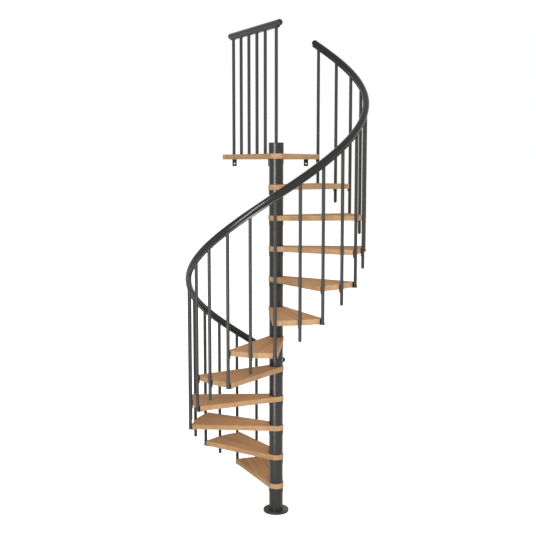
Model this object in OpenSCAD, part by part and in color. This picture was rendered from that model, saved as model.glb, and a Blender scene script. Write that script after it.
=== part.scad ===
// Spiral staircase of stacked wooden treads round a steel column.
// The origin is the centre of the base plate's underside, +Z is up, and the
// stair climbs anticlockwise seen from above, up to a landing along +Y.

/* [Rise and plan] */
// Height from one tread top to the next
riser_h = 235; // [190:1:260]
// Angle in plan between one riser and the next
step_angle = 30; // [26:0.5:31]
// Angle in plan of the first riser, from +X
first_angle = 89.4; // [85:0.1:95]
// Radius of the treads' outer edge
tread_r = 660; // [500:5:800]

/* [Treads] */
// Thickness of the wooden treads and the landing
tread_t = 40; // [30:1:60]
// Radius of the round inner end that wraps the column
hub_r = 60; // [58:1:75]
// How far each side of a tread runs past its riser line, at the outer edge
nosing_over = 18; // [16:1:30]

/* [Column] */
// Outer diameter of the column's spacer tubes
column_d = 108; // [90:1:110]
// Wall of the spacer tubes
column_wall = 4; // [3:0.5:8]
// Height of the wider collar under each tread
collar_h = 36; // [20:1:60]
// How far the collar and the column's cap stand out from the spacer tube
collar_out = 3; // [1:0.5:3]
// Outer diameter of the inner post that the treads are threaded on
post_d = 60; // [48:1:72]
// Wall of the inner post
post_wall = 4; // [3:0.5:8]
// Height of the column above the landing
column_above = 82; // [40:1:150]
// Thickness of the lid of the column's cap
cap_t = 6; // [3:0.5:12]

/* [Base plate] */
// Diameter of the round base plate
base_d = 200; // [190:1:300]
// Thickness of the base plate
base_t = 20; // [10:1:30]
// Width of the bevel round the base plate's top
base_bevel = 4; // [1:0.5:8]
// Pitch circle of the floor bolts
base_pcd = 156; // [150:1:165]
// Diameter of the floor bolt holes
base_hole_d = 12; // [8:0.5:14]
// Number of floor bolts
base_bolts = 4; // [3:1:8]

/* [Balusters] */
// Diameter of the balusters
rod_d = 25; // [16:1:28]
// Gap between a tread's outer edge and its balusters, filled by the clips
clip_t = 3; // [2:0.5:8]
// Width of the clips behind the balusters
clip_w = 22; // [10:1:30]
// How far the clips stop short of the tread's top
clip_top = 4; // [2:1:15]
// How far the clips reach below the tread
clip_drop = 20; // [5:1:25]
// Width of the foot bracket under a tread's corner
foot_w = 36; // [30:1:50]
// Width of the foot bracket's leaf at the tread's top
foot_top_w = 24; // [20:1:28]
// How far the foot bracket's rounded end stands out round the baluster
foot_rim = 3; // [1:0.5:6]
// How far the foot bracket reaches in under the tread
foot_l = 34; // [20:1:60]
// Thickness of the foot bracket's plate
foot_t = 3; // [2:0.5:6]
// Diameter of the first baluster's floor foot
floor_foot_d = 60; // [40:1:80]
// Thickness of the floor foot
floor_foot_t = 6; // [4:1:12]

/* [Handrail] */
// Height of the handrail's centre above the line of the nosings
rail_h = 875; // [800:5:1000]
// Diameter of the handrail
rail_d = 48; // [40:1:60]
// Width of the steel strip that carries the handrail
strip_w = 24; // [16:1:30]
// Depth of the steel strip
strip_t = 12; // [5:1:20]
// How far the stair rail's lower end and both ends of the landing rail run past their balusters
rail_lead = 50; // [36:1:80]
// How far the stair rail's upper end and the landing rail's strip run past their balusters
rail_over = 36; // [20:1:60]
// Length of the domed caps on the handrails' ends
cap_l = 22; // [8:1:22]

/* [Landing] */
// Distance from the column's centre to the landing's straight edge
landing_depth = 730; // [700:5:900]
// Length of the landing's straight edge
landing_w = 800; // [780:5:1000]
// Middle of the straight edge, along X
landing_mid = -50; // [-80:5:-30]
// Height of the landing handrail's top above the landing
landing_rail_h = 992; // [900:2:1100]
// Distance along the landing rail from the column to the next baluster
landing_gap = 183; // [120:1:200]
// Spacing of the landing's other balusters
landing_pitch = 143.5; // [100:0.5:150]

/* [Wall brackets] */
// Spacing of the three brackets under the landing's straight edge
bracket_pitch = 300; // [200:5:330]
// Width of a bracket
bracket_w = 36; // [25:1:60]
// Height of a bracket's upright leg
bracket_h = 56; // [40:1:80]
// Length of a bracket's flat leg
bracket_l = 50; // [30:1:80]
// Thickness of a bracket's legs
bracket_t = 4; // [3:0.5:6]
// Height of the bracket's hole above its lower end
bracket_hole_z = 22; // [15:1:30]
// Diameter of the bracket's hole
bracket_hole_d = 12; // [6:0.5:14]

/* [Hidden] */

wood = "#C99D6E";
steel = "#3F4244";
rubber = "#2B2C2D";

tread_count = 11;
rail_sections = 4;
section_steps = 17;
ring_points = 20;
landing_rods = 5;
bracket_count = 3;

// Clearance round the post in the bored wood, at the handrail's seats and between its lengths
bore_gap = 0.3;
seat_gap = 0.3;
joint_gap = 0.2;
// How far inside the hub circle the sides of a tread run, so that they cut it cleanly
hub_bite = 0.5;
// Room behind the last baluster, where the landing is cut back for it
relief_gap = 9;
// How far a cutting shape runs past what it cuts
past = 2;
round_fn = 96;
rod_fn = 48;

landing_z = riser_h * (tread_count + 1);
column_top = landing_z + column_above;
landing_rail_z = landing_z + landing_rail_h - rail_d / 2;

// The balusters and the handrail stand on one circle
rod_r = tread_r + clip_t + rod_d / 2;
last_rod = 2 * tread_count;
climb = atan(riser_h / (rod_r * step_angle * PI / 180));
rail_start = rod_angle(0) - rail_lead / rod_r * 180 / PI;
rail_end = rod_angle(last_rod) + rail_over / rod_r * 180 / PI;
nosing_angle = nosing_over / tread_r * 180 / PI;
side_r = hub_r - hub_bite;

// Handrail section in its own plane, x outwards and y square to the climb
rail_flat = -sqrt(pow(rail_d / 2, 2) - pow(strip_w / 2, 2));
strip_top = rail_flat - seat_gap;
strip_low = strip_top - strip_t;
flat_half_angle = asin(strip_w / rail_d);

far_left = [landing_mid - landing_w / 2, landing_depth];
far_right = [landing_mid + landing_w / 2, landing_depth];
// The landing rail runs from the column's centre along the landing's left side
landing_rail_angle = atan2(far_left.y, far_left.x) - asin(side_r / norm(far_left));
landing_rail_l = landing_gap + (landing_rods - 1) * landing_pitch;

function polar(r, angle) = [r * cos(angle), r * sin(angle)];
// Angle in plan of baluster k, with two balusters to a step
function rod_angle(k) = first_angle + step_angle * k / 2;
function nosing_z(angle) = riser_h * (1 + (angle - first_angle) / step_angle);
function rail_z(angle) = nosing_z(angle) + rail_h;
// All balusters have one length, but the first one stops at its floor foot
function rod_foot_z(k) = max(floor_foot_t, nosing_z(rod_angle(k)) - riser_h - tread_t);
// Where a line from a corner grazes the hub, on its clockwise (-1) or other (1) side
function hub_touch(corner, side) =
  polar(side_r, atan2(corner.y, corner.x) + side * acos(side_r / norm(corner)));
// The same line, run on past the corner
function run_on(corner, side) = 1.3 * corner - 0.3 * hub_touch(corner, side);

// A ring of the handrail sweep: section points turned to face along the helix
function helix_ring(section, angle) = [
  for (p = section) [
    (rod_r + p.x) * cos(angle) + p.y * sin(climb) * sin(angle),
    (rod_r + p.x) * sin(angle) - p.y * sin(climb) * cos(angle),
    rail_z(angle) + p.y * cos(climb)
  ]
];

// Handrail section: round, with a flat underneath for the strip
rail_section = [
  for (i = [0 : ring_points - 1])
    polar(rail_d / 2, -90 + flat_half_angle + i * (360 - 2 * flat_half_angle) / (ring_points - 1))
];
strip_section = [
  [-strip_w / 2, strip_low], [strip_w / 2, strip_low],
  [strip_w / 2, strip_top], [-strip_w / 2, strip_top]
];

// Sweep of a section along one of the equal lengths of the helical handrail. The
// faces are halved one way on the rail and the other on the strip, so that they match.
module helix_sweep(section, part_n, halved) {
  length = (rail_end - rail_start) / rail_sections;
  start = rail_start + (part_n - 1) * length;
  turn = length - joint_gap / rod_r * 180 / PI;
  n = len(section);
  points = [for (i = [0 : section_steps]) each helix_ring(section, start + turn * i / section_steps)];
  sides = [
    for (i = [0 : section_steps - 1], j = [0 : n - 1])
      let (a = i * n + j, b = i * n + (j + 1) % n)
        each halved == 1 ? [[a, a + n, b + n], [a, b + n, b]] : [[a, a + n, b], [b, a + n, b + n]]
  ];
  first_end = [[for (j = [0 : n - 1]) j]];
  last_end = [[for (j = [n - 1 : -1 : 0]) section_steps * n + j]];
  polyhedron(points, concat(sides, first_end, last_end));
}

// Domed cap that starts at the origin and points along +X
module dome() {
  ball_r = (pow(rail_d / 2, 2) + pow(cap_l, 2)) / (2 * cap_l);
  rotate([0, 90, 0])
    intersection() {
      translate([0, 0, cap_l - ball_r]) sphere(r = ball_r, $fn = round_fn);
      cylinder(r = ball_r + past, h = cap_l + past, $fn = round_fn);
    }
}

// A thin leaf on the tread circle, centred on angle 0, with its children's outline
module edge_leaf() {
  intersection() {
    difference() {
      cylinder(r = tread_r + clip_t, h = 2 * tread_t, $fn = 360);
      translate([0, 0, -past]) cylinder(r = tread_r, h = 2 * (tread_t + past), $fn = 360);
    }
    translate([tread_r / 2, 0, 0])
      rotate([90, 0, 90]) linear_extrude(tread_r) children();
  }
}

module wood_board(z) {
  translate([0, 0, z - tread_t])
    difference() {
      linear_extrude(tread_t) children();
      translate([0, 0, -past])
        cylinder(d = post_d + 2 * bore_gap, h = tread_t + 2 * past, $fn = round_fn);
    }
}

module base_plate() {
  color(steel)
    difference() {
      rotate_extrude($fn = round_fn)
        polygon([
          [0, 0], [base_d / 2, 0], [base_d / 2, base_t - base_bevel],
          [base_d / 2 - base_bevel, base_t], [0, base_t]
        ]);
      for (i = [0 : base_bolts - 1])
        rotate(45 + i * 360 / base_bolts)
          translate([base_pcd / 2, 0, -past])
            cylinder(d = base_hole_d, h = base_t + 2 * past, $fn = rod_fn);
    }
}

module inner_post() {
  height = column_top - cap_t - base_t;
  color(steel)
    translate([0, 0, base_t])
      difference() {
        cylinder(d = post_d, h = height, $fn = round_fn);
        translate([0, 0, -past])
          cylinder(d = post_d - 2 * post_wall, h = height + 2 * past, $fn = round_fn);
      }
}

// Spacer tube n stands under tread n, or under the landing for the last one
module spacer(n) {
  foot = n == 1 ? base_t : (n - 1) * riser_h;
  height = n * riser_h - tread_t - foot;
  inside = column_d / 2 - column_wall;
  outside = column_d / 2;
  color(steel)
    translate([0, 0, foot])
      rotate_extrude($fn = round_fn)
        polygon([
          [inside, 0], [outside, 0], [outside, height - collar_h],
          [outside + collar_out, height - collar_h], [outside + collar_out, height],
          [inside, height]
        ]);
}

module column_cap() {
  inside = column_d / 2 - column_wall;
  outside = column_d / 2 + collar_out;
  color(steel)
    translate([0, 0, landing_z])
      rotate_extrude($fn = round_fn)
        polygon([
          [inside, 0], [outside, 0], [outside, column_above],
          [0, column_above], [0, column_above - cap_t], [inside, column_above - cap_t]
        ]);
}

module tread(n) {
  right = polar(tread_r, -nosing_angle);
  left = polar(tread_r, step_angle + nosing_angle);
  color(wood)
    rotate(first_angle + (n - 1) * step_angle)
      wood_board(n * riser_h) {
        circle(r = hub_r, $fn = round_fn);
        intersection() {
          circle(r = tread_r, $fn = 360);
          polygon([
            [0, 0], hub_touch(right, -1), run_on(right, -1), run_on(left, 1), hub_touch(left, 1)
          ]);
        }
      }
}

module landing() {
  last_angle = rod_angle(last_rod) % 360;
  nosing = polar(tread_r, last_angle - nosing_angle);
  relief_y = rod_r * sin(last_angle) + rod_d / 2 + relief_gap;
  color(wood)
    wood_board(landing_z) {
      circle(r = hub_r, $fn = round_fn);
      difference() {
        polygon([
          [0, 0], hub_touch(nosing, -1), nosing, far_right, far_left, hub_touch(far_left, 1)
        ]);
        difference() {
          square([tread_r, relief_y]);
          circle(r = tread_r, $fn = 360);
        }
      }
    }
}

module wall_brackets() {
  low = landing_z - tread_t - bracket_h;
  color(steel)
    for (i = [0 : bracket_count - 1])
      translate([landing_mid + (i - (bracket_count - 1) / 2) * bracket_pitch, landing_depth, low])
        difference() {
          translate([-bracket_w / 2, -bracket_l, 0]) cube([bracket_w, bracket_l, bracket_h]);
          translate([-bracket_w / 2 - past, -bracket_l - past, -bracket_t])
            cube([bracket_w + 2 * past, bracket_l + past - bracket_t, bracket_h]);
          translate([0, past, bracket_hole_z])
            rotate([90, 0, 0])
              cylinder(d = bracket_hole_d, h = bracket_t + 2 * past, $fn = rod_fn);
        }
}

// Baluster k: its top is cut to the slope of the strip, and its foot is flat or domed
module baluster(k, domed) {
  angle = rod_angle(k);
  foot = rod_foot_z(k);
  top = rail_z(angle);
  tip = domed ? rod_d / 2 : 0;
  rotate(angle)
    translate([rod_r, 0, 0])
      difference() {
        union() {
          translate([0, 0, foot + tip]) cylinder(d = rod_d, h = top - foot - tip, $fn = rod_fn);
          if (domed) translate([0, 0, foot + tip]) sphere(d = rod_d, $fn = rod_fn);
        }
        translate([0, 0, top])
          rotate([climb, 0, 0])
            translate([-rod_d, -rail_d, strip_low - seat_gap])
              cube([2 * rod_d, 2 * rail_d, 2 * rail_d]);
      }
}

module long_balusters() {
  color(steel) for (k = [0 : 2 : last_rod]) baluster(k, false);
}

module mid_balusters() {
  color(steel) for (k = [1 : 2 : last_rod]) baluster(k, true);
}

// Bracket under a tread's rear corner, with a leaf up the edge behind the baluster
module foot_bracket() {
  end_d = rod_d + 2 * foot_rim;
  leaf_w = 2 * nosing_over - foot_t;
  translate([0, 0, -foot_t])
    linear_extrude(foot_t) {
      translate([tread_r - foot_l, -foot_w / 2]) square([foot_l + clip_t, foot_w]);
      translate([tread_r, -end_d / 2]) square([rod_r - tread_r, end_d]);
      translate([rod_r, 0]) circle(d = end_d, $fn = rod_fn);
    }
  edge_leaf()
    polygon([
      [-leaf_w / 2, 0], [leaf_w / 2, 0], [leaf_w / 2, tread_t / 2],
      [foot_top_w / 2, tread_t], [-foot_top_w / 2, tread_t], [-leaf_w / 2, tread_t / 2]
    ]);
}

module foot_brackets() {
  color(rubber) {
    rotate(rod_angle(0)) translate([rod_r, 0, 0])
      cylinder(d = floor_foot_d, h = floor_foot_t, $fn = round_fn);
    for (k = [2 : 2 : last_rod])
      rotate(rod_angle(k)) translate([0, 0, rod_foot_z(k)]) foot_bracket();
  }
}

// Clips at the nosing corners and half-way along each tread's edge
module baluster_clips() {
  color(rubber)
    for (k = [0 : last_rod])
      rotate(rod_angle(k))
        translate([0, 0, (floor(k / 2) + 1) * riser_h - tread_t - clip_drop])
          edge_leaf()
            translate([-clip_w / 2, 0]) square([clip_w, tread_t + clip_drop - clip_top]);
}

module handrail(part_n) {
  color(steel) helix_sweep(rail_section, part_n, 1);
}

module rail_strip(part_n) {
  color(rubber) helix_sweep(strip_section, part_n, 2);
}

// Place of the landing's baluster i along its rail, from the column's centre
function landing_rod_s(i) = i == 0 ? 0 : landing_gap + (i - 1) * landing_pitch;

module landing_balusters() {
  top = landing_rail_z + strip_low - seat_gap;
  color(steel)
    for (i = [0 : landing_rods]) {
      foot = i == 0 ? column_top : landing_z;
      rotate(landing_rail_angle)
        translate([landing_rod_s(i), 0, foot])
          cylinder(d = rod_d, h = top - foot, $fn = rod_fn);
    }
}

module landing_rail() {
  length = landing_rail_l + 2 * rail_lead;
  color(steel)
    translate([0, 0, landing_rail_z])
      rotate(landing_rail_angle)
        translate([-rail_lead, 0, 0])
          difference() {
            rotate([0, 90, 0])
              cylinder(d = rail_d, h = length, $fn = round_fn);
            translate([-past, -rail_d / 2, rail_flat - rail_d])
              cube([length + 2 * past, rail_d, rail_d]);
          }
}

module landing_rail_strip() {
  color(rubber)
    translate([0, 0, landing_rail_z])
      rotate(landing_rail_angle)
        translate([-rail_over, -strip_w / 2, strip_low])
          cube([landing_rail_l + 2 * rail_over, strip_w, strip_t]);
}

module rail_end_caps() {
  color(rubber) {
    for (side = [-1, 1]) {
      angle = side < 0 ? rail_start : rail_end;
      translate([rod_r * cos(angle), rod_r * sin(angle), rail_z(angle)])
        rotate(angle + side * 90)
          rotate([0, -side * climb, 0]) dome();
    }
    translate([0, 0, landing_rail_z])
      rotate(landing_rail_angle) {
        translate([-rail_lead, 0, 0]) rotate(180) dome();
        translate([landing_rail_l + rail_lead, 0, 0]) dome();
      }
  }
}

base_plate();
inner_post();
column_cap();
for (n = [1 : tread_count + 1])
  spacer(n);
for (n = [1 : tread_count])
  tread(n);
landing();
wall_brackets();
long_balusters();
mid_balusters();
foot_brackets();
baluster_clips();
for (n = [1 : rail_sections])
  handrail(n);
for (n = [1 : rail_sections])
  rail_strip(n);
landing_balusters();
landing_rail();
landing_rail_strip();
rail_end_caps();
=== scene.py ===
# Spiral staircase: lacquered beech treads threaded on an anthracite steel column, with
# tubular balusters and a handrail on a steel strip. Metres, +Z up; the stair climbs
# anticlockwise seen from above, to a landing along +Y.
import math

import bmesh
import bpy
from mathutils import Matrix, Vector


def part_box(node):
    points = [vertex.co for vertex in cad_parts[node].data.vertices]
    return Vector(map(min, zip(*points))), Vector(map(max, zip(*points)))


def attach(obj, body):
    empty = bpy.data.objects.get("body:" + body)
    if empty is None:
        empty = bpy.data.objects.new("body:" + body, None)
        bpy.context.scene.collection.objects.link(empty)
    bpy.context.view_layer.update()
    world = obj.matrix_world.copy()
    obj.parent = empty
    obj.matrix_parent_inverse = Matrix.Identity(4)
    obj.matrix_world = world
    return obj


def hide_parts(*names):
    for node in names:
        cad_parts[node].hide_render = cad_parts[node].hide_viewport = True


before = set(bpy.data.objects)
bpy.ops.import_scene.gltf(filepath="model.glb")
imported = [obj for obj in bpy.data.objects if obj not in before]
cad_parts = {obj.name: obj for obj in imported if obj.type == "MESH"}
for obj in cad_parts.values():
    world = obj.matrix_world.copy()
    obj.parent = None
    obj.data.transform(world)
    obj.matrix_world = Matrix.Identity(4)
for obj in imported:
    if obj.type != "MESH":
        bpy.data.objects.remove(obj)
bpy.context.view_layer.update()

stair = {
    "treads": 11,
    "rise": 0.235,                       # from one tread's top to the next
    "stepAngle": math.radians(30),
    "firstAngle": math.radians(89.4),    # the first riser, from +X
    "radius": 0.66,                      # of the treads' outer edge
    "hubRadius": 0.06,                   # of the boards' round inner end
    "sideRadius": 0.0595,                # of the circle that the landing's rail grazes
    "boreRadius": 0.0303,                # of the hole for the inner post
    "nosing": 0.018,                     # each side past its riser line
    "balusterCircle": 0.6755,
    "railHeight": 0.875,                 # of the rail's centre above the nosings
}
lastRod = 2 * stair["treads"]
climb = math.atan(stair["rise"] / (stair["balusterCircle"] * stair["stepAngle"]))
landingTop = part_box("landing")[1].z
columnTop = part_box("column_cap")[1].z
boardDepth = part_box("tread_1")[1].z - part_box("tread_1")[0].z
wholeTurn = 2 * math.pi
print("frame loaded, landing at %.3f m" % landingTop)


def polar(radius, angle, z=0.0):
    return Vector((radius * math.cos(angle), radius * math.sin(angle), z))


def rodAngle(k):
    return stair["firstAngle"] + k * stair["stepAngle"] / 2    # two balusters to a step


def nosingHeight(angle):
    return stair["rise"] * (1 + (angle - stair["firstAngle"]) / stair["stepAngle"])


def railHeight(angle):
    return nosingHeight(angle) + stair["railHeight"]


def atAngle(angle, radius=0.0, z=0.0):
    # a part made with +X outwards is moved out, up and round to its angle
    return Matrix.Rotation(angle, 4, "Z") @ Matrix.Translation((radius, 0, z))


def openLine(bm, corners):
    for a, b in zip(corners, corners[1:]):
        bm.edges.new((a, b))


def closedLine(bm, points):
    corners = [bm.verts.new(p) for p in points]
    openLine(bm, corners + corners[:1])


def swept(bm, geom, angle, steps, axis=(0, 0, 1), centre=(0, 0, 0), rise=0.0):
    # sweeps points, lines or faces round an axis; a whole turn closes on itself
    return bmesh.ops.spin(bm, geom=geom, cent=centre, axis=axis, dvec=(0, 0, rise), angle=angle,
                          steps=steps, use_merge=angle == wholeTurn, use_normal_flip=False,
                          use_duplicate=False)


def arc(bm, start, angle, steps, centre=(0, 0, 0)):
    # a chain of edges from a point, round an upright axis; gives both its end vertices
    first = bm.verts.new(start)
    return first, swept(bm, [first], angle, steps, centre=centre)["geom_last"][0]


def turned(bm, outline, segments):
    # an outline in the XZ plane, turned once round the Z axis: it runs from the axis
    # back to the axis, or it closes on itself
    corners = [bm.verts.new((x, 0, z)) for x, z in outline]
    openLine(bm, corners if outline[0][0] == 0 else corners + corners[:1])
    swept(bm, bm.verts[:] + bm.edges[:], wholeTurn, segments)
    bmesh.ops.remove_doubles(bm, verts=bm.verts[:], dist=1e-6)


def pull(bm, faces, by):
    pulled = bmesh.ops.extrude_face_region(bm, geom=faces)
    moved = [g for g in pulled["geom"] if isinstance(g, bmesh.types.BMVert)]
    bmesh.ops.translate(bm, vec=by, verts=moved)


def fillAndPull(bm, thickness):
    # fills the outline, leaves the holes drawn in it, and pulls it up to a board or plate
    bmesh.ops.triangle_fill(bm, edges=bm.edges[:], use_beauty=True, use_dissolve=True,
                            normal=(0, 0, 1))
    pull(bm, bm.faces[:], (0, 0, thickness))


def closeHoles(bm):
    bmesh.ops.holes_fill(bm, edges=[e for e in bm.edges if e.is_boundary], sides=0)


def rounded(bm, edges, width, segments):
    bmesh.ops.bevel(bm, geom=edges, offset=width, offset_type="OFFSET", segments=segments,
                    profile=0.5, affect="EDGES", clamp_overlap=True, material=-1)


def soften(bm, width, segments=2, sharper=50):
    # rounds the edges that turn by more than an angle in degrees
    bmesh.ops.recalc_face_normals(bm, faces=bm.faces[:])
    sharp = [e for e in bm.edges if e.is_manifold and e.calc_face_angle() > math.radians(sharper)]
    rounded(bm, sharp, width, segments)


def joinInto(whole, part, places=(Matrix(),)):
    # adds a copy of the part at every place
    mesh = bpy.data.meshes.new("part")
    part.to_mesh(mesh)
    part.free()
    for place in places:
        before = len(whole.verts)
        whole.from_mesh(mesh)
        whole.verts.ensure_lookup_table()
        bmesh.ops.transform(whole, matrix=place, verts=whole.verts[before:])
    bpy.data.meshes.remove(mesh)


def finishPiece(bm, name, material, node, flatTo=32):
    # normals out, smooth up to an angle but flat across wide faces, riding on the stair in
    # place of its plain node
    bmesh.ops.recalc_face_normals(bm, faces=bm.faces[:])
    mesh = bpy.data.meshes.new(name)
    bm.to_mesh(mesh)
    bm.free()
    mesh.shade_smooth()
    mesh.set_sharp_from_angle(angle=math.radians(flatTo))
    mesh.materials.append(material)
    piece = bpy.data.objects.new(name, mesh)
    bpy.context.scene.collection.objects.link(piece)
    flats = piece.modifiers.new("flatFaces", "WEIGHTED_NORMAL")
    flats.mode, flats.weight, flats.keep_sharp = "FACE_AREA", 100, True
    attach(piece, "root")
    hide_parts(node)


def linear(hexColour):
    # an sRGB hex colour, as linear RGBA
    channels = [int(hexColour[i:i + 2], 16) / 255 for i in (1, 3, 5)]
    return [c / 12.92 if c <= 0.04045 else ((c + 0.055) / 1.055) ** 2.4 for c in channels] + [1.0]


def addNode(tree, kind, settings=None, links=None):
    # settings are node properties, or sockets by name or number; links are socket: output
    node = tree.nodes.new(kind)
    for key, value in (settings or {}).items():
        if isinstance(key, str) and hasattr(node, key):
            setattr(node, key, value)
        else:
            node.inputs[key].default_value = value
    for key, output in (links or {}).items():
        tree.links.new(output, node.inputs[key])
    return node


def newFinish(name):
    material = bpy.data.materials.new(name)
    material.use_nodes = True
    tree = material.node_tree
    tree.nodes.clear()
    return material, tree


def shaded(tree, settings, links):
    shader = addNode(tree, "ShaderNodeBsdfPrincipled", settings, links)
    addNode(tree, "ShaderNodeOutputMaterial", None, {"Surface": shader.outputs["BSDF"]})


beech = {
    "pale": "#E0BB90",
    "middle": "#D2A97F",
    "dark": "#BF956A",
    "line": "#AF845B",
    "face": "#FFF5EB",       # painted shade: tints the flat faces warmer and darker than the sawn edges
    "stave": 0.066,          # width of a glued stave, as long as the board
    "logSpread": 7.0,        # how far apart in the log two staves may be cut
    "toneSpread": 0.07,      # of the staves, either way
    "drawnOut": 0.045,       # how much slower the figure changes along the grain
    "sway": 0.03,            # how far the growth lines wander
    "grain": 0.0045,         # distance between fine growth lines
    "band": 0.021,           # distance between the darker growth lines
    "bandDepth": 0.55,       # strength of the darkest of them
    "fleck": 0.0035,         # ray flecks, drawn wide enough to show
    "fleckDepth": 0.28,
    "roughness": 0.62,
    "sheen": 0.06,           # how far the roughness varies, either way
    "gleam": 0.04,           # strength of what it mirrors, where bare varnish is 0.5
    "bump": 0.0002,
}


def beechStaves(tree, turn, shift):
    # the grain's own axes, X along the board, and a random value for every stave
    place = addNode(tree, "ShaderNodeTexCoord")
    along = addNode(tree, "ShaderNodeMapping", {"Rotation": (0, 0, -turn), "Location": shift},
                    {"Vector": place.outputs["Object"]})
    axes = addNode(tree, "ShaderNodeSeparateXYZ", None, {"Vector": along.outputs["Vector"]})
    across = addNode(tree, "ShaderNodeMath", {"operation": "DIVIDE", 1: beech["stave"]},
                     {0: axes.outputs["Y"]})
    row = addNode(tree, "ShaderNodeMath", {"operation": "FLOOR"}, {0: across.outputs[0]})
    toss = addNode(tree, "ShaderNodeTexWhiteNoise", {"noise_dimensions": "1D"},
                   {"W": row.outputs[0]})
    # every stave is cut from another place of the log
    jump = addNode(tree, "ShaderNodeVectorMath",
                   {"operation": "SCALE", "Scale": beech["logSpread"]},
                   {0: toss.outputs["Color"]})
    own = addNode(tree, "ShaderNodeVectorMath", {"operation": "ADD"},
                  {0: along.outputs["Vector"], 1: jump.outputs["Vector"]})
    return own, toss


def lacqueredBeech(name, turn, shift):
    # steamed beech, glued from long staves and planed, under a matt lacquer: warm golden
    # tan, straight fine growth lines with a darker one here and there, and hardly a sheen
    material, tree = newFinish(name)
    own, toss = beechStaves(tree, turn, shift)
    drawn = addNode(tree, "ShaderNodeMapping", {"Scale": (beech["drawnOut"], 1, 1)},
                    {"Vector": own.outputs["Vector"]})
    # slow waves, about 11 cm wide
    sway = addNode(tree, "ShaderNodeTexNoise", {"Scale": 9.0, "Detail": 2.0},
                   {"Vector": drawn.outputs["Vector"]})
    bend = addNode(tree, "ShaderNodeVectorMath", {"operation": "SCALE", "Scale": beech["sway"]},
                   {0: sway.outputs["Color"]})
    bent = addNode(tree, "ShaderNodeVectorMath", {"operation": "ADD"},
                   {0: drawn.outputs["Vector"], 1: bend.outputs["Vector"]})
    lines = addNode(tree, "ShaderNodeTexNoise",
                    {"Scale": 1 / beech["grain"], "Detail": 3.0, "Roughness": 0.6},
                    {"Vector": bent.outputs["Vector"]})
    streaks = addNode(tree, "ShaderNodeTexNoise", {"Scale": 0.7 / beech["band"], "Detail": 2.0},
                      {"Vector": bent.outputs["Vector"]})
    both = addNode(tree, "ShaderNodeMix", {"data_type": "FLOAT", "Factor": 0.55},
                   {2: lines.outputs["Fac"], 3: streaks.outputs["Fac"]})
    wood = addNode(tree, "ShaderNodeValToRGB", None, {"Fac": both.outputs[0]})
    ramp = wood.color_ramp
    ramp.elements[0].position, ramp.elements[0].color = 0.30, linear(beech["dark"])
    ramp.elements[1].position, ramp.elements[1].color = 0.68, linear(beech["pale"])
    ramp.elements.new(0.49).color = linear(beech["middle"])

    # dense late wood ends some of the growth rings in a thin dark line; a wave texture
    # repeats every 0.314 at a scale of 1
    rings = addNode(tree, "ShaderNodeTexWave",
                    {"wave_type": "BANDS", "bands_direction": "Y", "wave_profile": "SAW",
                     "Scale": 0.314 / beech["band"], "Distortion": 2.6, "Detail": 1.5,
                     "Detail Scale": 0.5}, {"Vector": bent.outputs["Vector"]})
    late = addNode(tree, "ShaderNodeMapRange",
                   {"From Min": 0.80, "From Max": 1.0, "To Min": 0.0,
                    "To Max": beech["bandDepth"]},
                   {"Value": rings.outputs["Fac"]})
    patchy = addNode(tree, "ShaderNodeMath", {"operation": "MULTIPLY"},
                     {0: late.outputs[0], 1: streaks.outputs["Fac"]})
    lined = addNode(tree, "ShaderNodeMix", {"data_type": "RGBA", 7: linear(beech["line"])},
                    {0: patchy.outputs[0], 6: wood.outputs["Color"]})

    # painted shade: the flat faces, tops and undersides, are tinted a little warmer and darker
    # than the sawn edges, by which way they face
    facing = addNode(tree, "ShaderNodeTexCoord")
    upright = addNode(tree, "ShaderNodeSeparateXYZ", None, {"Vector": facing.outputs["Normal"]})
    flat = addNode(tree, "ShaderNodeMath", {"operation": "ABSOLUTE"}, {0: upright.outputs["Z"]})
    flatsShaded = addNode(tree, "ShaderNodeMix",
                     {"data_type": "RGBA", "blend_type": "MULTIPLY", 7: linear(beech["face"])},
                     {0: flat.outputs[0], 6: lined.outputs[2]})

    # staves differ a little in tone
    tone = addNode(tree, "ShaderNodeMapRange",
                   {"To Min": 1 - beech["toneSpread"], "To Max": 1 + beech["toneSpread"]},
                   {"Value": toss.outputs["Value"]})
    toned = addNode(tree, "ShaderNodeMix",
                    {"data_type": "RGBA", "blend_type": "MULTIPLY", "Factor": 1.0},
                    {6: flatsShaded.outputs[2], 7: tone.outputs[0]})

    # ray flecks: short dark dashes along the grain
    dashes = addNode(tree, "ShaderNodeMapping", {"Scale": (0.2, 1, 0.5)},
                     {"Vector": own.outputs["Vector"]})
    flecks = addNode(tree, "ShaderNodeTexVoronoi", {"Scale": 0.5 / beech["fleck"]},
                     {"Vector": dashes.outputs["Vector"]})
    spots = addNode(tree, "ShaderNodeMapRange",
                    {"From Min": 0.10, "From Max": 0.25, "To Min": beech["fleckDepth"],
                     "To Max": 0.0},
                    {"Value": flecks.outputs["Distance"]})
    flecked = addNode(tree, "ShaderNodeMix", {"data_type": "RGBA", 7: linear(beech["line"])},
                      {0: spots.outputs[0], 6: toned.outputs[2]})

    sheen = addNode(tree, "ShaderNodeMapRange",
                    {"To Min": beech["roughness"] + beech["sheen"],
                     "To Max": beech["roughness"] - beech["sheen"]},
                    {"Value": both.outputs[0]})
    pores = addNode(tree, "ShaderNodeBump", {"Strength": 0.5, "Distance": beech["bump"]},
                    {"Height": lines.outputs["Fac"]})
    shaded(tree, {"Specular IOR Level": beech["gleam"]},
           {"Base Color": flecked.outputs[2], "Roughness": sheen.outputs[0],
            "Normal": pores.outputs["Normal"]})
    return material


coat = {
    "drift": 0.2,            # distance over which a coat's tone changes
    "sheen": 0.04,           # how far the roughness varies, either way
}


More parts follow.
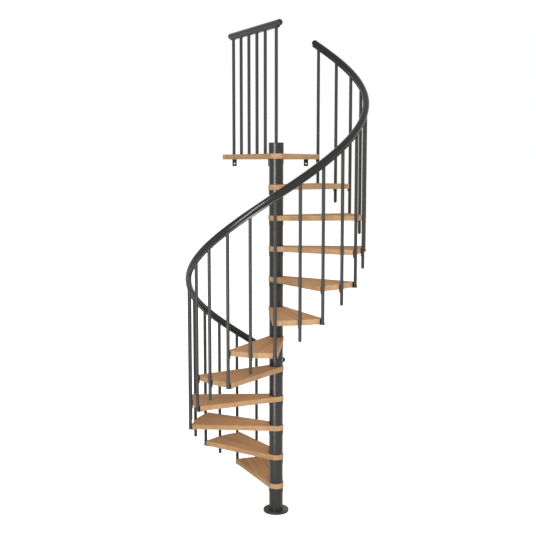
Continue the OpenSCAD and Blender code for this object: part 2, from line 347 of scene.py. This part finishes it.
def coatedSteel(name, colours, grit, relief, roughness, gleam):
    # shot-blasted steel under baked powder coat: flat dark grey, faintly pebbled like
    # orange peel, with a soft-edged line of light along every tube
    material, tree = newFinish(name)
    place = addNode(tree, "ShaderNodeTexCoord")
    peel = addNode(tree, "ShaderNodeTexNoise", {"Scale": 1 / grit, "Detail": 2.0},
                   {"Vector": place.outputs["Object"]})
    cloud = addNode(tree, "ShaderNodeTexNoise", {"Scale": 1 / coat["drift"], "Detail": 3.0},
                    {"Vector": place.outputs["Object"]})
    paint = addNode(tree, "ShaderNodeMix", {"data_type": "RGBA", 6: linear(colours[0]),
                                            7: linear(colours[1])},
                    {0: cloud.outputs["Fac"]})
    gloss = addNode(tree, "ShaderNodeMapRange",
                    {"To Min": roughness - coat["sheen"], "To Max": roughness + coat["sheen"]},
                    {"Value": peel.outputs["Fac"]})
    pebble = addNode(tree, "ShaderNodeBump", {"Strength": 0.4, "Distance": relief},
                     {"Height": peel.outputs["Fac"]})
    shaded(tree, {"Specular IOR Level": gleam},
           {"Base Color": paint.outputs[2], "Roughness": gloss.outputs[0],
            "Normal": pebble.outputs["Normal"]})
    return material


plastic = {
    "patch": 1 / 14,         # width of the patches that handling has dulled
    "grain": 1 / 900,        # the mould's own grain, drawn wide enough to show
    "relief": 0.00002,
    "polished": 0.03,        # how much less rough it is where it is worn smooth
    "dulled": 0.05,
}


def smoothPlastic(name, colours, roughness, gleam):
    # extruded or moulded plastic: dark, nearly even, with a tight soft highlight that
    # handling has dulled in patches
    material, tree = newFinish(name)
    place = addNode(tree, "ShaderNodeTexCoord")
    wear = addNode(tree, "ShaderNodeTexNoise", {"Scale": 1 / plastic["patch"], "Detail": 4.0},
                   {"Vector": place.outputs["Object"]})
    fine = addNode(tree, "ShaderNodeTexNoise", {"Scale": 1 / plastic["grain"], "Detail": 1.0},
                   {"Vector": place.outputs["Object"]})
    skin = addNode(tree, "ShaderNodeMix", {"data_type": "RGBA", 6: linear(colours[0]),
                                           7: linear(colours[1])},
                   {0: wear.outputs["Fac"]})
    gloss = addNode(tree, "ShaderNodeMapRange",
                    {"To Min": roughness - plastic["polished"],
                     "To Max": roughness + plastic["dulled"]},
                    {"Value": wear.outputs["Fac"]})
    grainy = addNode(tree, "ShaderNodeBump", {"Strength": 0.15, "Distance": plastic["relief"]},
                     {"Height": fine.outputs["Fac"]})
    shaded(tree, {"Specular IOR Level": gleam},
           {"Base Color": skin.outputs[2], "Roughness": gloss.outputs[0],
            "Normal": grainy.outputs["Normal"]})
    return material


powderCoat = coatedSteel("powderCoatedSteel", ("#363635", "#3C3C3B"),
                         grit=0.0016, relief=0.00004, roughness=0.30, gleam=0.2)
# painted highlight: the balusters have the column's own powder coat, painted a lighter grey here
# for the light the thin tubes catch
rodCoatPaintedLighter = coatedSteel("powderCoatedTubePaintedLighter", ("#434342", "#494948"),
                      grit=0.0012, relief=0.00001, roughness=0.48, gleam=0.1)
stripCoat = coatedSteel("mattCoatedSteel", ("#2C2C2B", "#323231"),
                        grit=0.0012, relief=0.00006, roughness=0.42, gleam=0.25)
bracketCoat = coatedSteel("blackCoatedSteel", ("#1E1E1E", "#252524"),
                          grit=0.0012, relief=0.00004, roughness=0.46, gleam=0.1)
railVinyl = smoothPlastic("anthraciteVinyl", ("#2D2D2C", "#323231"), roughness=0.17, gleam=0.12)
mouldedBlack = smoothPlastic("mouldedBlackNylon", ("#232323", "#2A2A2A"),
                             roughness=0.45, gleam=0.25)
print("finishes made")

base = {
    "segments": 128,
    "boltCircle": 0.078,
    "boltHole": 0.006,       # radius
    "holeSegments": 32,
    "bolts": 4,
    "chamfer": 0.004,
    "edge": 0.0007,
}


def makeBasePlate():
    low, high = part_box("base_plate")
    bm = bmesh.new()
    rim = (high.x - low.x) / 2
    bmesh.ops.create_circle(bm, cap_ends=False, segments=base["segments"], radius=rim)
    for i in range(base["bolts"]):
        spot = polar(base["boltCircle"], wholeTurn * (i + 0.5) / base["bolts"])
        bmesh.ops.create_circle(bm, cap_ends=False, segments=base["holeSegments"],
                                radius=base["boltHole"], matrix=Matrix.Translation(spot))
    fillAndPull(bm, high.z)
    inRim = base["boltCircle"] + base["boltHole"]
    topRim = [e for e in bm.edges if all(v.co.z > 0 and v.co.xy.length > inRim for v in e.verts)]
    rounded(bm, topRim, base["chamfer"], 1)
    soften(bm, base["edge"], 2, 30)
    finishPiece(bm, "basePlate", powderCoat, "base_plate")


column = {
    "segments": 96,
    "wall": 0.004,
    "collarHeight": 0.036,
    "collarOut": 0.003,
    "edge": 0.0007,
    "lidSeam": 0.006,        # the pressed-in lid's joint, below the top
    "seamDepth": 0.0008,
}


def makeSpacerTube(n):
    low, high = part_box("spacer_%d" % n)
    outside = high.x - column["collarOut"]
    inside = outside - column["wall"]
    collar = high.z - column["collarHeight"]
    bm = bmesh.new()
    turned(bm, [(inside, low.z), (outside, low.z), (outside, collar), (high.x, collar),
                (high.x, high.z), (inside, high.z)], column["segments"])
    soften(bm, column["edge"])
    finishPiece(bm, "spacerTube%d" % n, powderCoat, "spacer_%d" % n)


def makeColumnCap():
    low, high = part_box("column_cap")
    seam, deep = high.z - column["lidSeam"], high.x - column["seamDepth"]
    underSeam = seam - column["seamDepth"]
    inside = high.x - column["collarOut"] - column["wall"]
    bm = bmesh.new()
    turned(bm, [(0, seam), (inside, seam), (inside, low.z), (high.x, low.z),
                (high.x, underSeam), (deep, underSeam), (deep, seam), (high.x, seam),
                (high.x, high.z), (0, high.z)], column["segments"])
    soften(bm, column["edge"] / 2, 2, 60)
    finishPiece(bm, "columnCap", powderCoat, "column_cap")


makeBasePlate()
for n in range(1, stair["treads"] + 2):
    makeSpacerTube(n)
makeColumnCap()
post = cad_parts["inner_post"]
post.data.materials.clear()
post.data.materials.append(powderCoat)
print("base and column made")

board = {
    "arris": 0.0028,
    "hubSteps": 40,
    "rimSteps": 32,
    "boreSteps": 48,
    "reliefSteps": 6,
    "relief": 0.009,         # room behind the last baluster
    "frontWidth": 0.8,       # of the landing's straight edge
    "logStart": (0.0, 0.0215, 0.0),
    "logStep": (0.37, 0.131, 0.11),     # from where one tread is cut to the next
    "landingLog": (0.2, 0.31, 0.4),
}


def hubTouch(corner, side):
    # where a line from a corner grazes the hub, on its clockwise (-1) or other (1) side
    out = math.atan2(corner.y, corner.x)
    return polar(stair["hubRadius"], out + side * math.acos(stair["hubRadius"] / corner.length))


def turnBetween(start, end):
    return (math.atan2(end.y, end.x) - math.atan2(start.y, start.x)) % wholeTurn


def boardOutline(bm, right, left, chains):
    # the round hub, and straight sides out to the chains of points on the outer side
    start, end = hubTouch(left, 1), hubTouch(right, -1)
    hubStart, last = arc(bm, start, turnBetween(start, end), board["hubSteps"])
    for first, final in chains:
        bm.edges.new((last, first))
        last = final
    bm.edges.new((last, hubStart))
    bmesh.ops.create_circle(bm, cap_ends=False, segments=board["boreSteps"],
                            radius=stair["boreRadius"])


def finishBoard(bm, low, name, node, turn, shift):
    fillAndPull(bm, boardDepth)
    bmesh.ops.translate(bm, vec=(0, 0, low), verts=bm.verts[:])
    soften(bm, board["arris"], 3, 25)
    finishPiece(bm, name, lacqueredBeech(name + "Beech", turn, shift), node, flatTo=40)


def makeTread(n):
    middle = stair["firstAngle"] + (n - 0.5) * stair["stepAngle"]
    half = stair["stepAngle"] / 2 + stair["nosing"] / stair["radius"]
    right, left = polar(stair["radius"], middle - half), polar(stair["radius"], middle + half)
    bm = bmesh.new()
    rim = arc(bm, right, 2 * half, board["rimSteps"])
    boardOutline(bm, right, left, [rim])
    fromLog = Vector(board["logStart"]) + n * Vector(board["logStep"])
    finishBoard(bm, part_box("tread_%d" % n)[0].z, "treadBoard%d" % n, "tread_%d" % n,
                middle, fromLog)


def makeLanding():
    low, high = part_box("landing")
    lastAngle = rodAngle(lastRod) % wholeTurn
    farLeft = Vector((low.x, high.y, 0))
    farRight = farLeft + Vector((board["frontWidth"], 0, 0))
    nosing = polar(stair["radius"], lastAngle - stair["nosing"] / stair["radius"])
    # cut back round the last baluster, and on to the line from the nosing to the far corner
    reliefY = stair["balusterCircle"] * math.sin(lastAngle) + rod["radius"] + board["relief"]
    notch = Vector((math.sqrt(stair["radius"] ** 2 - reliefY ** 2), reliefY, 0))
    step = nosing.lerp(farRight, (reliefY - nosing.y) / (farRight.y - nosing.y))
    bm = bmesh.new()
    cut = arc(bm, nosing, turnBetween(nosing, notch), board["reliefSteps"])
    corners = [bm.verts.new(p) for p in (step, farRight, farLeft)]
    boardOutline(bm, nosing, farLeft, [cut] + [(c, c) for c in corners])
    finishBoard(bm, low.z, "landingBoard", "landing", 0.0, board["landingLog"])


rod = {
    "radius": 0.0125,
    "segments": 32,
    "tipSteps": 6,
    "nearPole": math.radians(88),    # where a domed tip's last flat starts
    "landingGap": 0.183,             # from the column to the landing's next baluster
    "landingPitch": 0.1435,
    "landingCount": 5,
}

for n in range(1, stair["treads"] + 1):
    makeTread(n)
makeLanding()
print("boards made")

strip = {
    "width": 0.024,
    "depth": 0.012,
    "edge": 0.0012,
    "gap": 0.0003,
}
rail = {
    "radius": 0.024,
    "lead": 0.05,            # past the first balusters, and at the landing rail's far end
    "over": 0.036,           # past the last stair baluster, and at the landing strip's ends
    "lengths": 4,
    "joint": 0.0002,
    "steps": 60,
    "ringSteps": 36,
}
railFlat = -math.sqrt(rail["radius"] ** 2 - (strip["width"] / 2) ** 2)
stripTop = railFlat - strip["gap"]
stripLow = stripTop - strip["depth"]
rodHead = stripLow - strip["gap"]
railStart = rodAngle(0) - rail["lead"] / stair["balusterCircle"]
railEnd = rodAngle(lastRod) + rail["over"] / stair["balusterCircle"]
landingCorner = Vector((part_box("landing")[0].x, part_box("landing")[1].y, 0))
landingTurn = (math.atan2(landingCorner.y, landingCorner.x)
               - math.asin(stair["sideRadius"] / landingCorner.length))
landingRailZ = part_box("landing_rail")[1].z - rail["radius"]
landingSpots = [0.0] + [rod["landingGap"] + i * rod["landingPitch"]
                        for i in range(rod["landingCount"])]


def baluster(bottom, top, slope=0.0, domed=False):
    # an upright tube whose head is cut to the slope of the strip; its tip may be domed
    part = bmesh.new()
    r = rod["radius"]
    uncut = part.verts.new((r, 0, top + 3 * r))
    tip = part.verts.new((r, 0, bottom + r if domed else bottom))
    part.edges.new((uncut, tip))
    if domed:
        swept(part, [tip], rod["nearPole"], rod["tipSteps"], (0, 1, 0), (0, 0, bottom + r))
    swept(part, part.verts[:] + part.edges[:], wholeTurn, rod["segments"])
    headNormal = Matrix.Rotation(slope, 3, "X") @ Vector((0, 0, 1))
    bmesh.ops.bisect_plane(part, geom=part.verts[:] + part.edges[:] + part.faces[:], dist=1e-7,
                           plane_co=(0, 0, top), plane_no=headNormal, clear_outer=True,
                           clear_inner=False, use_snap_center=False)
    closeHoles(part)
    return part


def rodFoot(k):
    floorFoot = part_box("long_balusters")[0].z
    return max(floorFoot, nosingHeight(rodAngle(k)) - stair["rise"] - boardDepth)


def makeStairBalusters(name, node, first, domed):
    bm = bmesh.new()
    for k in range(first, lastRod + 1, 2):
        angle = rodAngle(k)
        head = railHeight(angle) + rodHead / math.cos(climb)
        joinInto(bm, baluster(rodFoot(k), head, climb, domed),
                 [atAngle(angle, stair["balusterCircle"])])
    finishPiece(bm, name, rodCoatPaintedLighter, node)


def makeLandingBalusters():
    bm = bmesh.new()
    head = landingRailZ + rodHead
    joinInto(bm, baluster(columnTop, head), [atAngle(landingTurn)])
    joinInto(bm, baluster(landingTop, head), [atAngle(landingTurn, s) for s in landingSpots[1:]])
    finishPiece(bm, "landingBalusters", rodCoatPaintedLighter, "landing_balusters")


makeStairBalusters("longBalusters", "long_balusters", 0, False)
makeStairBalusters("midBalusters", "mid_balusters", 1, True)
makeLandingBalusters()
print("balusters made")


def railSection(bm):
    # round, with a flat underneath for the strip, in the XZ plane
    half = math.asin(strip["width"] / 2 / rail["radius"])
    start = bm.verts.new((strip["width"] / 2, 0, railFlat))
    swept(bm, [start], 2 * (math.pi - half), rail["ringSteps"], (0, -1, 0))
    bmesh.ops.contextual_create(bm, geom=bm.verts[:])


def stripSection(bm):
    half = strip["width"] / 2
    corners = [bm.verts.new(p) for p in ((-half, 0, stripLow), (half, 0, stripLow),
                                         (half, 0, stripTop), (-half, 0, stripTop))]
    bm.faces.new(corners)
    bmesh.ops.bevel(bm, geom=corners, offset=strip["edge"], offset_type="OFFSET", segments=2,
                    profile=0.5, affect="VERTICES", material=-1)


def makeHelixLength(section, n, name, material, node):
    # the section, set square to the climb, swept up one of the equal lengths of the helix
    length = (railEnd - railStart) / rail["lengths"]
    start = railStart + (n - 1) * length
    turn = length - rail["joint"] / stair["balusterCircle"]
    place = atAngle(start, stair["balusterCircle"], railHeight(start))
    bm = bmesh.new()
    section(bm)
    bmesh.ops.transform(bm, matrix=place @ Matrix.Rotation(climb, 4, "X"), verts=bm.verts[:])
    swept(bm, bm.faces[:] + bm.edges[:] + bm.verts[:], turn, rail["steps"],
          rise=stair["rise"] * turn / stair["stepAngle"] / rail["steps"])
    finishPiece(bm, name, material, node)


def makeStraightLength(section, past, name, material, node):
    # along the landing, past the balusters at both of its ends
    bm = bmesh.new()
    section(bm)
    pull(bm, bm.faces[:], (0, landingSpots[-1] + 2 * past, 0))
    place = atAngle(landingTurn, -past, landingRailZ)
    bmesh.ops.transform(bm, matrix=place @ Matrix.Rotation(-math.pi / 2, 4, "Z"),
                        verts=bm.verts[:])
    finishPiece(bm, name, material, node)


endCap = {
    "length": 0.022,
    "short": 0.0002,         # narrower than the rail all round
    "straight": 0.002,       # of its side, before the dome
    "domeSteps": 10,
    "segments": 48,
    "edge": 0.0006,
}


def makeEndCaps():
    # domed caps, each turned up from its outline and then laid along its rail
    r, dome = rail["radius"] - endCap["short"], endCap["length"] - endCap["straight"]
    quarter = [math.pi / 2 * i / endCap["domeSteps"] for i in range(endCap["domeSteps"])]
    outline = [(r * math.cos(a), endCap["straight"] + dome * math.sin(a)) for a in quarter]
    part = bmesh.new()
    turned(part, [(0, 0), (r, 0), *outline, (0, endCap["length"])], endCap["segments"])
    soften(part, endCap["edge"], 2, 60)
    laid = Matrix.Rotation(math.pi / 2, 4, "Y")
    places = []
    for side, angle in ((-1, railStart), (1, railEnd)):
        spot = Matrix.Translation(polar(stair["balusterCircle"], angle, railHeight(angle)))
        turn = Matrix.Rotation(angle + side * math.pi / 2, 4, "Z")
        places.append(spot @ turn @ Matrix.Rotation(-side * climb, 4, "Y") @ laid)
    near = atAngle(landingTurn, -rail["lead"], landingRailZ)
    far = atAngle(landingTurn, landingSpots[-1] + rail["lead"], landingRailZ)
    places += [near @ Matrix.Rotation(math.pi, 4, "Z") @ laid, far @ laid]
    whole = bmesh.new()
    joinInto(whole, part, places)
    finishPiece(whole, "railEndCaps", mouldedBlack, "rail_end_caps", flatTo=50)


for n in range(1, rail["lengths"] + 1):
    makeHelixLength(railSection, n, "handrailLength%d" % n, railVinyl,
                    "handrail_%d" % n)
    makeHelixLength(stripSection, n, "railStrip%d" % n, stripCoat,
                    "rail_strip_%d" % n)
makeStraightLength(railSection, rail["lead"], "landingRail", railVinyl,
                   "landing_rail")
makeStraightLength(stripSection, rail["over"], "landingRailStrip", stripCoat,
                   "landing_rail_strip")
makeEndCaps()
print("rails made")

screw = {
    "head": 0.0045,          # radius
    "height": 0.0024,
    "shoulder": (0.94, 0.6),     # of the head's radius and height, where its side turns in
    "top": 0.72,             # of the head's radius, where its dome ends
    "socket": 0.0022,        # radius of the recess
    "deep": 0.0012,
    "segments": 20,
}


def panScrew():
    # a low domed head with a round recess, on the XY plane with its head along +Z
    r, h, top = screw["head"], screw["height"], screw["top"] * screw["head"]
    side, up = screw["shoulder"]
    bm = bmesh.new()
    turned(bm, [(0, 0), (r, 0), (side * r, up * h), (top, h), (screw["socket"], h),
                (screw["socket"], h - screw["deep"]), (0, h - screw["deep"])], screw["segments"])
    return bm


clip = {
    "thickness": 0.003,
    "width": 0.022,
    "top": 0.004,            # below the board's top
    "drop": 0.020,           # below the board
    "lip": 0.0035,           # how far its two cheeks reach round the baluster
    "cheek": 0.0022,
    "edge": 0.0006,
}


def makeBalusterClips():
    part = bmesh.new()
    w, t, reach = clip["width"] / 2, clip["thickness"], clip["thickness"] + clip["lip"]
    inner = w - clip["cheek"]
    closedLine(part, [(0, -w, 0), (reach, -w, 0), (reach, -inner, 0), (t, -inner, 0),
                      (t, inner, 0), (reach, inner, 0), (reach, w, 0), (0, w, 0)])
    fillAndPull(part, boardDepth + clip["drop"] - clip["top"])
    soften(part, clip["edge"], 2, 50)
    whole = bmesh.new()
    joinInto(whole, part, [
        atAngle(rodAngle(k), stair["radius"],
                (k // 2 + 1) * stair["rise"] - boardDepth - clip["drop"])
        for k in range(lastRod + 1)])
    finishPiece(whole, "balusterClips", mouldedBlack, "baluster_clips")


foot = {
    "width": 0.036,
    "inward": 0.034,
    "plate": 0.003,
    "leafTop": 0.024,
    "leafWidth": 0.033,
    "rim": 0.003,            # round the baluster
    "sleeve": 0.016,         # height of the socket that the baluster stands in
    "lead": 0.005,           # height of the socket below its taper
    "screwIn": 0.020,        # of the screws, from the board's edge
    "screwOut": 0.010,       # each side of the middle
    "floorRadius": 0.03,
    "floorNeck": 1.3,        # of the baluster's radius, at the top of the floor foot
    "endSteps": 16,
    "sleeveSegments": 36,
    "floorSegments": 48,
    "edge": 0.0007,
}


def footPlate():
    # the plate under the board's corner, with its rounded end under the baluster
    part = bmesh.new()
    t, outer, w = clip["thickness"], rod["radius"] + foot["rim"], foot["width"] / 2
    centre = t + rod["radius"]
    first, last = arc(part, (centre, -outer, 0), math.pi, foot["endSteps"], (centre, 0, 0))
    corners = [part.verts.new(p) for p in ((t, outer, 0), (t, w, 0), (-foot["inward"], w, 0),
                                           (-foot["inward"], -w, 0), (t, -w, 0),
                                           (t, -outer, 0))]
    openLine(part, [last, *corners, first])
    fillAndPull(part, foot["plate"])
    bmesh.ops.translate(part, vec=(0, 0, -foot["plate"]), verts=part.verts[:])
    soften(part, foot["edge"], 2, 30)
    return part


def footLeaf():
    # the leaf up the board's edge, narrowing over its upper half
    part = bmesh.new()
    low, top, half = foot["leafWidth"] / 2, foot["leafTop"] / 2, boardDepth / 2
    closedLine(part, [(0, -low, 0), (0, low, 0), (-half, low, 0), (-boardDepth, top, 0),
                      (-boardDepth, -top, 0), (-half, -low, 0)])
    fillAndPull(part, clip["thickness"])
    bmesh.ops.rotate(part, cent=(0, 0, 0), matrix=Matrix.Rotation(math.pi / 2, 3, "Y"),
                     verts=part.verts[:])
    soften(part, foot["edge"], 2, 30)
    return part


def footSleeve():
    part = bmesh.new()
    r, rim = rod["radius"], foot["rim"]
    turned(part, [(r, 0), (r + rim, 0), (r + rim, foot["lead"]), (r + rim / 3, foot["sleeve"]),
                  (r, foot["sleeve"])], foot["sleeveSegments"])
    soften(part, foot["edge"], 2, 30)
    return part


def floorFoot():
    part = bmesh.new()
    thick = rodFoot(0)
    turned(part, [(0, 0), (foot["floorRadius"], 0), (foot["floorRadius"], thick / 2),
                  (foot["floorNeck"] * rod["radius"], thick), (0, thick)],
           foot["floorSegments"])
    soften(part, foot["edge"], 2, 30)
    return part


def makeFootBrackets():
    feet = [(rodAngle(k), rodFoot(k)) for k in range(2, lastRod + 1, 2)]
    whole = bmesh.new()
    joinInto(whole, footPlate(), [atAngle(a, stair["radius"], z) for a, z in feet])
    joinInto(whole, footLeaf(), [atAngle(a, stair["radius"], z) for a, z in feet])
    joinInto(whole, footSleeve(), [atAngle(a, stair["balusterCircle"], z) for a, z in feet])
    headDown = Matrix.Rotation(math.pi, 4, "X")
    for side in (-foot["screwOut"], foot["screwOut"]):
        joinInto(whole, panScrew(), [
            atAngle(a, stair["radius"] - foot["screwIn"], z - foot["plate"])
            @ Matrix.Translation((0, side, 0)) @ headDown for a, z in feet])
    joinInto(whole, floorFoot(), [atAngle(rodAngle(0), stair["balusterCircle"])])
    finishPiece(whole, "footBrackets", mouldedBlack, "foot_brackets")


bracket = {
    "pitch": 0.3,
    "width": 0.036,
    "flat": 0.05,            # length of the leg under the landing
    "thickness": 0.004,
    "holeUp": 0.022,
    "holeRadius": 0.006,
    "holeSegments": 32,
    "screwBacks": (0.018, 0.036),    # of the two screws, from the wall
    "edge": 0.0006,
}


def bracketPlate(length, hole=0.0):
    # a plate in the XY plane from y = 0 to its length, with a hole on its middle line
    part = bmesh.new()
    w = bracket["width"] / 2
    closedLine(part, [(-w, 0, 0), (w, 0, 0), (w, length, 0), (-w, length, 0)])
    if hole:
        bmesh.ops.create_circle(part, cap_ends=False, segments=bracket["holeSegments"],
                                radius=bracket["holeRadius"],
                                matrix=Matrix.Translation((0, hole, 0)))
    fillAndPull(part, bracket["thickness"])
    soften(part, bracket["edge"], 2, 50)
    return part


def makeWallBrackets():
    low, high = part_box("wall_brackets")
    under = high.z - bracket["thickness"]
    middle = (low.x + high.x) / 2
    spots = [middle + i * bracket["pitch"] for i in (-1, 0, 1)]
    upright = Matrix.Rotation(math.pi / 2, 4, "X")
    headDown = Matrix.Rotation(math.pi, 4, "X")
    whole = bmesh.new()
    joinInto(whole, bracketPlate(high.z - low.z, bracket["holeUp"]),
             [Matrix.Translation((x, high.y, low.z)) @ upright for x in spots])
    joinInto(whole, bracketPlate(bracket["flat"] - bracket["thickness"]),
             [Matrix.Translation((x, high.y - bracket["flat"], under)) for x in spots])
    for back in bracket["screwBacks"]:
        joinInto(whole, panScrew(),
                 [Matrix.Translation((x, high.y - back, under)) @ headDown for x in spots])
    finishPiece(whole, "wallBrackets", bracketCoat, "wall_brackets")


makeBalusterClips()
makeFootBrackets()
makeWallBrackets()
print("fittings made")

studio = {
    "fill": 0.5,             # the white world, on all that isn't seen or mirrored
    "floorRadius": 40.0,
    "floorDrop": 0.0005,     # below the base plate
    "floorColour": "#F2F2F0",
    "nearLift": 0.72,        # how white the floor is by itself beside the stair
    "fadeFrom": 0.35,
    "fadeTo": 1.1,
}


def directRays(tree):
    # 1 where the eye, a mirror or glass looks straight at the background
    rays = addNode(tree, "ShaderNodeLightPath")
    seen = addNode(tree, "ShaderNodeMath", {"operation": "ADD", "use_clamp": True},
                   {0: rays.outputs["Is Camera Ray"], 1: rays.outputs["Is Glossy Ray"]})
    return addNode(tree, "ShaderNodeMath", {"operation": "ADD", "use_clamp": True},
                   {0: seen.outputs[0], 1: rays.outputs["Is Transmission Ray"]})


def makeFloor():
    # pale plain floor; seen directly it turns pure white away from the stair
    material, tree = newFinish("paleFloor")
    place = addNode(tree, "ShaderNodeTexCoord")
    far = addNode(tree, "ShaderNodeVectorMath", {"operation": "LENGTH"},
                  {0: place.outputs["Object"]})
    fade = addNode(tree, "ShaderNodeMapRange",
                   {"interpolation_type": "SMOOTHSTEP", "From Min": studio["fadeFrom"],
                    "From Max": studio["fadeTo"], "To Min": studio["nearLift"], "To Max": 1.0},
                   {"Value": far.outputs["Value"]})
    strength = addNode(tree, "ShaderNodeMath", {"operation": "MULTIPLY"},
                       {0: fade.outputs[0], 1: directRays(tree).outputs[0]})
    glow = addNode(tree, "ShaderNodeEmission", {"Color": (1, 1, 1, 1)},
                   {"Strength": strength.outputs[0]})
    matt = addNode(tree, "ShaderNodeBsdfDiffuse", {"Color": linear(studio["floorColour"])})
    both = addNode(tree, "ShaderNodeAddShader", None,
                   {0: matt.outputs["BSDF"], 1: glow.outputs["Emission"]})
    addNode(tree, "ShaderNodeOutputMaterial", None, {"Surface": both.outputs["Shader"]})
    bm = bmesh.new()
    bmesh.ops.create_circle(bm, cap_ends=True, segments=96, radius=studio["floorRadius"],
                            matrix=Matrix.Translation((0, 0, -studio["floorDrop"])))
    mesh = bpy.data.meshes.new("floor")
    bm.to_mesh(mesh)
    bm.free()
    mesh.materials.append(material)
    floor = bpy.data.objects.new("floor", mesh)
    bpy.context.scene.collection.objects.link(floor)


def makeWorld():
    # white to the eye and in reflections, a soft fill for everything else
    world = bpy.data.worlds.new("studio")
    world.use_nodes = True
    tree = world.node_tree
    tree.nodes.clear()
    strength = addNode(tree, "ShaderNodeMapRange", {"To Min": studio["fill"], "To Max": 1.0},
                       {"Value": directRays(tree).outputs[0]})
    sky = addNode(tree, "ShaderNodeBackground", {"Color": (1, 1, 1, 1)},
                  {"Strength": strength.outputs[0]})
    addNode(tree, "ShaderNodeOutputWorld", None, {"Surface": sky.outputs["Background"]})
    bpy.context.scene.world = world


softbox = {
    "key": {"azimuth": 7, "distance": 8.0, "z": 5.2, "aimZ": 1.8, "size": (4.0, 3.5),
            "radiance": 8.2, "lights": "surfaces"},
    "nearGleam": {"azimuth": -25, "distance": 2.2, "z": 1.6, "aimZ": 1.6, "size": (0.42, 3.0),
                  "radiance": 36.0, "lights": "reflections"},
    "farGleam": {"azimuth": -25, "distance": 7.0, "z": 3.0, "aimZ": 2.0, "size": (1.4, 5.0),
                 "radiance": 16.0, "lights": "reflections"},
}


def addSoftbox(name, box):
    # azimuth in degrees from the front, to the right; a lamp shades surfaces or is
    # only mirrored in them, as a bright line down every tube
    azimuth = math.radians(box["azimuth"])
    place = Vector((math.sin(azimuth), -math.cos(azimuth), 0)) * box["distance"]
    place.z = box["z"]
    lamp = bpy.data.lights.new(name, "AREA")
    lamp.shape = "RECTANGLE"
    lamp.size, lamp.size_y = box["size"]
    lamp.energy = box["radiance"] * math.pi * lamp.size * lamp.size_y
    light = bpy.data.objects.new(name, lamp)
    light.location = place
    light.rotation_mode = "QUATERNION"
    light.rotation_quaternion = (Vector((0, 0, box["aimZ"])) - place).to_track_quat("-Z", "Y")
    light.visible_camera = False
    light.visible_glossy = box["lights"] == "reflections"
    light.visible_diffuse = box["lights"] == "surfaces"
    bpy.context.scene.collection.objects.link(light)


view = {
    "place": (0, -7.032, 2.732),
    "down": 6.734,           # degrees below level
    "left": 0.334,           # degrees to the left of the column
    "lens": 61.55,           # millimetres, on a frame 36 wide
    "shift": (-0.0053, 0.01),
    "reach": 200,
}


def makeCamera():
    lens = bpy.data.cameras.new("camera")
    lens.sensor_width, lens.lens = 36, view["lens"]
    lens.shift_x, lens.shift_y = view["shift"]
    lens.clip_end = view["reach"]
    camera = bpy.data.objects.new("camera", lens)
    camera.location = view["place"]
    camera.rotation_euler = (math.radians(90 - view["down"]), 0, math.radians(view["left"]))
    bpy.context.scene.collection.objects.link(camera)
    bpy.context.scene.camera = camera


makeFloor()
makeWorld()
for name, box in softbox.items():
    addSoftbox(name, box)
makeCamera()
bpy.context.scene.view_settings.view_transform = "Standard"
print("studio set")
